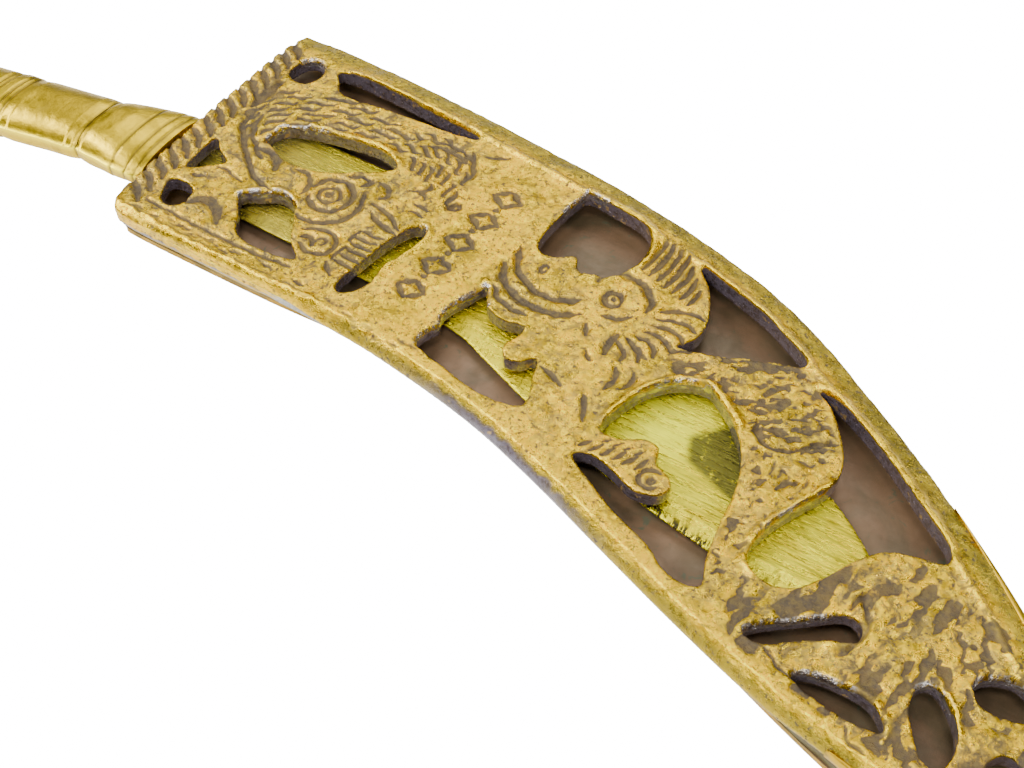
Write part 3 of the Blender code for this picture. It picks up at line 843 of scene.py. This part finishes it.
def belly_flank(x, y, level, belly):
    """Painted shade on the casting's flank over the belly's wall, strongest between x 36 and 56, with a
    dark line along the seam's crack, and the solder in its seam.
    """
    shaded = np.exp(-(((x - 46) / 10) ** 4))
    foot = 0.15 + shaded
    ragged = 0.1 * waves(x, y, 1.6, 33)
    # painted shade under the rim's edge
    dark = fade(belly, 0.3, 0.6) * fade(level + ragged, 0.05 + 0.42 * foot, 0.18 + 0.46 * foot)
    dark = np.maximum(dark, shaded * fade(belly + 1.5 * ragged, 0.35, 0.6))
    seam = ramp(x, 17.5, 20.5) * fade(x, 27.0, 28.0) * fade(belly, 0.45, 0.8)
    over_seam = level - (0.78 - 0.55 * ramp(x, 20, 27.8) + 0.08 * waves(x, y, 1.2, 37))
    crack = seam * bell(over_seam, 0.09) * ramp(x, 19.0, 21.5)
    return np.maximum(dark, crack), seam * fade(over_seam, -0.08, 0.0)


def front_casting():
    """The pierced casting, with the relief carved into its top, over the CAD front plate."""
    piece = remeshed("front_plate", "front_casting", 0.14, 1)
    co = to_plane(vertex_array(piece.data))
    where = co[:, :2]
    x, y = where.T
    rims = top_edges("front_plate")
    edge = nearest(rims, where)
    outline = flow([*THROAT_EDGE, *SPINE_EDGE, (104.6, -37.3), *BELLY_EDGE[::-1], THROAT_EDGE[0]], 4)
    opening = nearest(rims[distance_to(outline, rims) > 0.7], where)
    spine = distance_to(flow(SPINE_EDGE, 4), where)
    belly = distance_to(flow(BELLY_EDGE, 4), where)
    level = np.clip((co[:, 2] - FRONT_LOW_Z) / (FRONT_TOP_Z - FRONT_LOW_Z), 0, 1)
    height, groove, rubbed, worn = relief(where, edge, spine, belly)
    co[:, 2] = FRONT_LOW_Z + level * (FRONT_TOP_Z - FRONT_LOW_Z + height)
    set_vertices(piece.data, to_world(co))
    flank, solder = belly_flank(x, y, level, belly)
    past_mouth = ramp(x, 20, 30)
    spine_slope = fade(spine, 1.2, 2.4) * ramp(level, 0.1, 0.4)
    heads = 0.85 * fade(x, 24, 29) + 0.55 * ramp(x, 33, 38)
    hides = 0.8 * within(HIND, where) + 0.7 * within(BODY, where)
    mottle = np.maximum(heads, hides) * ramp(spine, 2.0, 3.2) * ramp(belly, 1.2, 2.6)
    hole = np.maximum(fade(opening, 0.25, 0.5) * fade(level, 0.84, 0.97), fade(level, 0.0, 0.08))
    add_attributes(
        piece.data,
        solder=solder,
        # painted glint: a pale silver colour on the bevelled walls along these edges
        silver=worn * ramp(level, 0.45, 0.75) * fade(opening, 0.16, 0.32),
        groove=groove * ramp(level, 0.6, 0.9),
        # the walls' patina, and the painted shade over the belly's flank
        depth=np.maximum(hole, flank),
        # rubbed brass and a painted highlight, kept off the grooves and the belly's outer slope
        wear=rubbed * ramp(level, 0.7, 0.95) * (1 - groove) * (1 - fade(belly, 0.45, 0.7) * past_mouth),
        mottle=np.clip(mottle, 0, 1),
        # outer: painted shade on the spine's outer slope and on the belly's slope past the mouth
        outer=np.maximum(spine_slope, fade(belly, 0.45, 0.8) * past_mouth),
    )
    dress(piece, cast_brass())
    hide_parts("front_plate")
    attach(piece, "scabbard")


def between(line, start, end):
    return line[(line[:, 0] >= start) & (line[:, 0] <= end)]


BACK_STEPS = [(-2, 0.9), (16, 0.9), (26, 1.6), (58, 1.6), (72, 1.2), (82, 0), (110, 0)]


def back_step(x):
    """How far the back plate's edge at the belly is inside the casting's."""
    return float(np.interp(x, *zip(*BACK_STEPS)))


def leaning_box(foot, head, thick, low, high, radius=0.12):
    """A wall's section, with round corners, that leans from its foot to its head."""
    points = []
    for start in (0, 90, 180, 270):
        middle = (
            radius if 0 < start < 270 else thick - radius,
            high - radius if start < 180 else low + radius,
        )
        for off, z in arc(middle, radius, start, start + 90, count=4):
            points.append((off + foot + (head - foot) * (z - low) / (high - low), z))
    return points


def wall(name, edge, node, section, metal):
    """A soldered side wall, a little uneven, over a CAD strip."""
    def profile(t, point):
        wobble = 0.05 * waves(*point, 5.0, 21)
        return [(off + wobble, z + 0.2 * wobble) for off, z in section(point[0])]

    piece = sweep(name, edge, profile)
    dress(piece, metal)
    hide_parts(node)
    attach(piece, "scabbard")


# The scabbard's edges as lines that run on round the tip, with the inside to their right
SPINE_LINE = flow(SPINE_EDGE, 10)
BELLY_LINE = flow(BELLY_EDGE, 10)[::-1]

WALL_LOW = BACK_INSIDE_Z - 0.05
WALL_HIGH = FRONT_LOW_Z + 0.3
MOUTH_HIGH = FRONT_TOP_Z - 0.6  # the short wall's top, beside the throat


def mouth_lean(x):
    """How far, from 0 to 1, the short wall has bent away from the casting by the place x."""
    return ramp(x, 19, 27.6)


def spine_section(x):
    return leaning_box(0.15, 0.12, 0.9, WALL_LOW, WALL_HIGH)


def belly_section(x):
    return leaning_box(back_step(x) + 0.1, 0.6 * back_step(x) + 0.1, 0.7, WALL_LOW, WALL_HIGH)


def mouth_section(x):
    away = mouth_lean(x)
    foot = back_step(x) + 0.05 + 0.3 * away
    return leaning_box(foot, 0.5 * away - 0.1, 0.9, WALL_LOW, MOUTH_HIGH - 0.5 * away)


def bead_profile(t, point):
    """The solder's section; t runs from its blunt end, away from the throat, to where it thins out."""
    swell = 0.16 * math.sin(math.pi * min(1, 0.06 + 0.94 * t)) ** 0.5
    away = mouth_lean(point[0])
    top = MOUTH_HIGH - 0.1 - 0.5 * away - 0.9 * ramp(t, 0.55, 1.0)
    head = (0.5 * away - 0.1 - swell) * (top - WALL_LOW) / (MOUTH_HIGH - WALL_LOW) + 0.1
    foot = back_step(point[0]) + 0.3 * away - swell
    return leaning_box(foot, head, 0.5, WALL_LOW + 0.02, top, 0.14)


def walls():
    metal = wall_metal()
    corner = flow([(1.2, -15.2), (0.1, -14.9), (-0.6, -14.2), (-1, -13.2)], 5)
    mouth = np.vstack([between(BELLY_LINE, 1.5, 27.6), corner])
    wall("spine_wall", SPINE_LINE, "spine_strip", spine_section, metal)
    wall("belly_wall", between(BELLY_LINE, 28.3, 102), "belly_strip_long", belly_section, metal)
    wall("belly_wall_throat", mouth, "belly_strip_short", mouth_section, metal)


def solder_bead():
    piece = sweep("solder_bead", between(BELLY_LINE, 18.5, 28.1), bead_profile)
    dress(piece, simple_metal("solder_metal", (0.4, 0.41, 0.37), (0.13, 0.14, 0.12), 0.36, 1.6))
    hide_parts("belly_solder")
    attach(piece, "scabbard")


def wall_metal():
    """Rubbed sheet brass, with painted shade along its lower edge and, past a place along X, over its
    lower part, and tarnish in patches.
    """
    n = Nodes("wall_metal")
    place = n.add("ShaderNodeSeparateXYZ", {0: n.place})
    cloud = n.noise(2.4, 5, 0.65, 0.5)
    fleck = n.noise(0.5, 5, 0.7)
    colour = n.mix(n.fit(cloud, 0.35, 0.65), (0.86, 0.62, 0.02), (0.6, 0.41, 0.012))
    # the painted shade's edge, which wanders up and down by half a millimetre
    ragged = n.math("ADD", place.outputs["Z"], n.times(n.math("SUBTRACT", cloud, 0.5), 0.001))
    foot = n.fit(ragged, 0.0012, 0.0008)
    shade = n.times(n.fit(place.outputs["X"], 0.01, 0.016), n.fit(ragged, 0.003, 0.0022))
    # painted shade at the foot and over the lower part, and tarnish in patches
    dark = n.math("MAXIMUM", n.times(foot, 0.85), n.times(shade, 0.9))
    dark = n.math("MAXIMUM", dark, n.times(n.fit(fleck, 0.6, 0.68), 0.5))
    colour = n.mix(dark, colour, (0.05, 0.045, 0.028))
    n.bump((n.noise(1.5, 4), 0.1), (fleck, 0.05))
    rough = n.blend(dark, n.fit(cloud, 0.3, 0.7, 0.24, 0.4), 0.6)
    return n.finish(colour, rough, n.blend(dark, 1.0, 0.4))


def simple_metal(name, colour, dark, rough, size):
    """Plain metal with clouds of tarnish about size millimetres across."""
    n = Nodes(name)
    cloud = n.noise(size, 6, 0.65, 0.5)
    tone = n.mix(n.times(n.fit(cloud, 0.35, 0.65), 0.6), colour, dark)
    n.bump((n.noise(0.9, 4), 0.04), (n.noise(0.2, 3), 0.015))
    return n.finish(tone, n.fit(n.noise(0.8, 4), 0.3, 0.7, rough - 0.08, rough + 0.1), 1.0)


def filed_brass():
    """Bright brass with long file strokes, short ones across the cutting edge, a stain, a painted
    highlight, and darker towards the throat.
    """
    n = Nodes("filed_brass")
    edge = n.attribute("edge")
    across = n.noise(0.3, 4, 0.7, 0.0, (-14, (1.0, 0.1, 1.0)))
    strokes = n.noise(0.32, 5, 0.75, 0.0, (34, (0.06, 1.0, 1.0)))
    fine = n.noise(0.16, 4, 0.7, 0.0, (-28, (0.05, 1.0, 1.0)))
    cloud = n.noise(4, 5, 0.6, 0.4)
    colour = n.mix(n.fit(cloud, 0.35, 0.65), (0.82, 0.65, 0.006), (0.93, 0.82, 0.012))
    marks = n.blend(edge, n.math("MAXIMUM", strokes, fine), across)
    colour = n.mix(n.times(n.fit(marks, 0.5, 0.66), 0.7), colour, (0.26, 0.21, 0.01))
    # painted highlight: a pale patch round the highlight spot, streaked with the file strokes
    glow = n.times(n.attribute("bright"), n.fit(strokes, 0.3, 0.6, 0.5, 1.0))
    colour = n.mix(glow, colour, (1.0, 0.98, 0.012))
    ticks = n.times(n.attribute("tick"), n.fit(across, 0.47, 0.53))
    colour = n.mix(ticks, colour, (0.045, 0.04, 0.015))
    stain = n.times(n.attribute("stain"), n.fit(n.noise(1.2, 6, 0.75, 0.5), 0.34, 0.42))
    colour = n.mix(n.times(stain, 0.92), colour, (0.1, 0.095, 0.025))
    # darker towards the throat
    colour = n.mix(n.times(n.attribute("dull"), 0.75), colour, (0.3, 0.225, 0.045))
    n.bump((marks, 0.12), (fine, 0.04), (cloud, 0.2))
    return n.finish(colour, n.fit(strokes, 0.3, 0.7, 0.18, 0.4), 1.0)


def tarnished_sheet():
    """Thin sheet: brown, pink-copper and green inside the scabbard, rubbed brass outside."""
    n = Nodes("tarnished_sheet_metal")
    cloud = n.noise(9, 5, 0.55, 0.8)
    small = n.noise(1.4, 5, 0.65, 0.5)
    inner = n.mix(n.fit(cloud, 0.38, 0.6), (0.118, 0.082, 0.04), (0.185, 0.11, 0.056))
    inner = n.mix(n.fit(small, 0.6, 0.72), inner, (0.1, 0.1, 0.055))
    facing = n.add("ShaderNodeSeparateXYZ", {0: n.add("ShaderNodeNewGeometry").outputs["Normal"]})
    outside = n.fit(facing.outputs["Z"], 0.2, -0.2)
    outer = n.mix(n.fit(n.noise(3, 6, 0.65, 0.4), 0.4, 0.62), OLIVE, GOLD)
    colour = n.mix(outside, inner, outer)
    scratch = n.noise(0.3, 3, 0.6, 0, (12, (0.04, 1.0, 1.0)))
    n.bump((n.noise(12, 2), 0.25), (scratch, 0.02), (n.noise(0.5, 4), 0.02))
    return n.finish(colour, n.fit(small, 0.3, 0.7, 0.42, 0.62), n.blend(outside, 0.35, 1.0))


# Handle sections in planes across X: x, middle y, half width, half thickness
BOLSTER = [
    (-1.6, -4.8, 5, 1.5), (-2, -4.86, 5.15, 1.62), (-2.2, -4.9, 5.1, 1.58), (-2.45, -4.95, 5.2, 1.72),
    (-3, -5.05, 5.15, 1.84), (-3.2, -5.08, 5.08, 1.8), (-3.5, -5.1, 5.1, 1.93), (-4.6, -5.3, 4.95, 2.08),
    (-4.85, -5.35, 4.86, 2.04), (-5.1, -5.4, 4.9, 2.13), (-6.6, -5.6, 4.6, 2.28), (-8.2, -5.88, 4.3, 2.3),
    (-9, -6, 4.1, 2.22), (-9.5, -6.1, 3.9, 2.06),
]
GRIP = [
    (-9.6, -6.1, 3.85, 2.02), (-10, -6.2, 3.98, 2.14), (-10.8, -6.35, 4.05, 2.27), (-13.5, -6.8, 4, 2.32),
    (-17.4, -7.5, 4.08, 2.32), (-18.4, -7.68, 4, 2.24), (-18.75, -7.72, 3.92, 2.12),
    (-19.1, -7.78, 4.1, 2.3), (-19.35, -7.83, 4, 2.18), (-19.7, -7.9, 4.16, 2.34),
    (-20.5, -8.05, 4.2, 2.36), (-20.85, -8.1, 4, 2.16), (-21.1, -8.15, 4.12, 2.28),
    (-21.35, -8.2, 3.98, 2.14), (-21.8, -8.3, 4.14, 2.3), (-25, -8.95, 4.25, 2.33),
    (-30, -10, 4.35, 2.34), (-40, -12.4, 4.3, 2.32), (-50, -15.2, 4.3, 2.3), (-57, -17.3, 4.6, 2.3),
    (-62, -18.9, 5.6, 2.32), (-64.4, -19.7, 6.5, 2.34), (-65, -19.9, 6.5, 2.22),
]
BUTT_CAP = [
    (-65.1, -19.9, 6.5, 2.22), (-65.5, -20.05, 6.9, 2.38), (-66.1, -20.25, 7.05, 2.4),
    (-66.8, -20.5, 7, 2.4), (-67.5, -20.75, 6.7, 2.33), (-68, -20.92, 6.1, 2.18), (-68.3, -21, 5.2, 1.9),
]
KEEPER = [
    (-68.4, -21, 2.25, 1.85), (-68.8, -21.15, 2.3, 1.85), (-69.3, -21.3, 2, 1.65),
    (-69.6, -21.45, 1.5, 1.35), (-69.7, -21.5, 1, 0.95),
]

# Where the ring grooves and the joints between the handle's pieces are
RING_LINES = [-2.2, -3.2, -4.85, -9.55, -18.75, -19.4, -20.85, -21.35, -65.05, -68.35]
SECTION_POINTS = 56
KEEL_TURN = 2.95  # radians round a section to its keel
KEEL_SHINE = 0.468  # part of the way round to the keel's painted highlight line


def superpower(value, power):
    return np.sign(value) * np.abs(value) ** (2 / power)


def squared_oval(x, y, half_width, half_thickness):
    """A handle's section: flat-topped, with a keel along its lower flank where the light runs."""
    turns = np.linspace(0, 2 * math.pi, SECTION_POINTS, endpoint=False)
    across = half_width * superpower(np.cos(turns), 2.5)
    up = half_thickness * superpower(np.sin(turns), 2.3)
    # the top slopes off a little to both sides
    up = np.where(up > 0, up * (1 - 0.1 * (across / half_width) ** 2), up)
    keel = bell(turns - KEEL_TURN, 0.1)
    return [(x, y + a, HANDLE_Z + u) for a, u in zip(across - 0.16 * keel, up + 0.14 * keel)]


def handle_piece(name, node, stations, metal):
    """A lofted piece of the handle, finer than the CAD node that it stands in for."""
    table = np.array(stations)[::-1]
    places = np.union1d(np.arange(table[-1, 0], table[0, 0] - 1e-9, -0.2), table[:, 0])[::-1]
    sections = []
    for x in places:
        y, width, thick = (np.interp(x, table[:, 0], column) for column in table.T[1:])
        sections.append(squared_oval(x, y, width + 0.02 * waves(x, y, 5.0, 31), thick))
    piece = lofted(name, sections)
    x = np.repeat(places, SECTION_POINTS)
    turn = np.tile(np.arange(SECTION_POINTS) / SECTION_POINTS, len(places))
    add_attributes(
        piece.data,
        keel=bell(turn - KEEL_SHINE, 0.016),
        ringed=sum(bell(x - at, 0.14) for at in RING_LINES),
    )
    dress(piece, metal)
    piece.data.set_sharp_from_angle(angle=math.radians(50))
    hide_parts(node)
    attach(piece, "knife")


def handle():
    metal = handle_metal()
    handle_piece("bolster_ringed", "bolster", BOLSTER, metal)
    handle_piece("grip_ringed", "grip", GRIP, metal)
    handle_piece("butt_cap_round", "butt_cap", BUTT_CAP, metal)
    handle_piece("tang_rivet", "tang_keeper", KEEPER, metal)


def handle_metal():
    """Rubbed brass with brown tarnish that gathers in the ring grooves, and a painted highlight along the
    keel.
    """
    n = Nodes("handle_metal")
    cloud = n.noise(5, 6, 0.65, 0.7)
    small = n.noise(1.6, 5, 0.7, 0.4)
    scratch = n.noise(0.35, 4, 0.7, 0, (12, (1.0, 0.08, 1.0)))
    colour = n.mix(n.fit(cloud, 0.36, 0.62), (0.44, 0.3, 0.006), (0.68, 0.47, 0.008))
    colour = n.mix(n.times(n.fit(small, 0.52, 0.68), 0.45), colour, (0.36, 0.25, 0.02))
    # painted highlight: a bright yellow line along the keel
    colour = n.mix(n.attribute("keel"), colour, (1.0, 0.8, 0.02))
    colour = n.mix(n.times(n.attribute("ringed"), 0.85), colour, (0.13, 0.09, 0.02))
    n.bump((n.noise(2.2, 4), 0.1), (small, 0.04), (scratch, 0.02))
    return n.finish(colour, n.fit(small, 0.3, 0.7, 0.3, 0.44), 1.0)


BAND_START = 79.6  # where the tip's band begins on both edges


def binding():
    """The narrow band folded round the tip's edge, slim at both ends."""
    nose = flow([(104.6, -35.4), (104.6, -37.3), (103.7, -38), (102.4, -37.7)], 5)
    down, back = (between(line, BAND_START, np.inf) for line in (SPINE_LINE, BELLY_LINE))
    line = np.vstack([down, nose[1:-1], back])

    def profile(t, point):
        end = min(t, 1 - t)
        grow = math.sin(math.pi * min(1, 7 * end + 0.04) / 2)
        top = FRONT_TOP_Z - (0.42 if t < 0.5 else 0.9) + 0.05 * grow
        low = 0.1 + (top - 1.0) * fade(end, 0.0, 0.16)
        thick = 0.04 + 0.22 * grow
        lap = 0.04 + 0.45 * grow
        return [
            (lap, top + 0.1), (0.5 * lap, top + 0.08), (0.0, top + 0.02), (-0.6 * thick, top - 0.12),
            (-thick, top - 0.38), (-thick, low + 0.3), (-0.6 * thick, low + 0.1), (0.0, low),
            (0.02, low + 0.2), (0.02, top - 0.4), (0.1, top - 0.2), (lap, top - 0.08),
        ]

    piece = sweep("tip_band", line, profile)
    dress(piece, simple_metal("binding_metal", (0.66, 0.4, 0.012), (0.34, 0.23, 0.018), 0.34, 1.2))
    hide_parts("tip_binding")
    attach(piece, "scabbard")


def back_plate():
    """The back plate stays the CAD's own and only gets its metal."""
    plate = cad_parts["back_plate"].data
    plate.materials.clear()
    plate.materials.append(tarnished_sheet())


def studio():
    half = 1.5
    corners = [(-half, -half, 0), (half, -half, 0), (half, half, 0), (-half, half, 0)]
    floor_mesh = bpy.data.meshes.new("floor")
    floor_mesh.from_pydata(corners, [], [(0, 1, 2, 3)])
    floor = link(bpy.data.objects.new("floor", floor_mesh))
    floor.location.z = -0.2 * MM
    white = Nodes("white_paper")
    fibre = white.fit(white.noise(2, 4), 0.3, 0.7)
    white.finish(white.mix(fibre, (0.92, 0.92, 0.9), (0.95, 0.95, 0.94)), 0.6, 0.0)
    # the paper is overexposed to the eye, but lights the object no more than white paper would
    seen = white.add("ShaderNodeLightPath").outputs["Is Camera Ray"]
    glow = white.blend(seen, FLOOR_GLOW, FLOOR_SEEN)
    white.fill(white.shader, {"Emission Color": (1, 1, 0.985), "Emission Strength": glow})
    floor_mesh.materials.append(white.material)

    world = bpy.data.worlds.new("studio")
    bpy.context.scene.world = world
    world.use_nodes = True
    sky = world.node_tree.nodes["Background"]
    sky.inputs["Color"].default_value = (1, 1, 1, 1)
    sky.inputs["Strength"].default_value = SKY

    target = Vector(to_world([45, -5, 2]))
    for name, place, size, power in LAMPS:
        data = bpy.data.lights.new(name, "AREA")
        data.size, data.energy = size, power
        lamp = link(bpy.data.objects.new(name, data))
        lamp.location = target + Vector(place)
        lamp.rotation_euler = (target - lamp.location).to_track_quat("-Z", "Y").to_euler()


def camera():
    data = bpy.data.cameras.new("camera")
    data.sensor_width = SENSOR
    data.lens = FOCAL * SENSOR
    data.clip_start = MM
    view = link(bpy.data.objects.new("camera", data))
    view.location = to_world(CAMERA_PLACE)
    view.rotation_euler = Vector(CAMERA_HEADING).to_track_quat("-Z", "Y").to_euler()
    bpy.context.scene.camera = view


camera()
front_casting()
back_plate()
blade()
walls()
solder_bead()
binding()
handle()
studio()
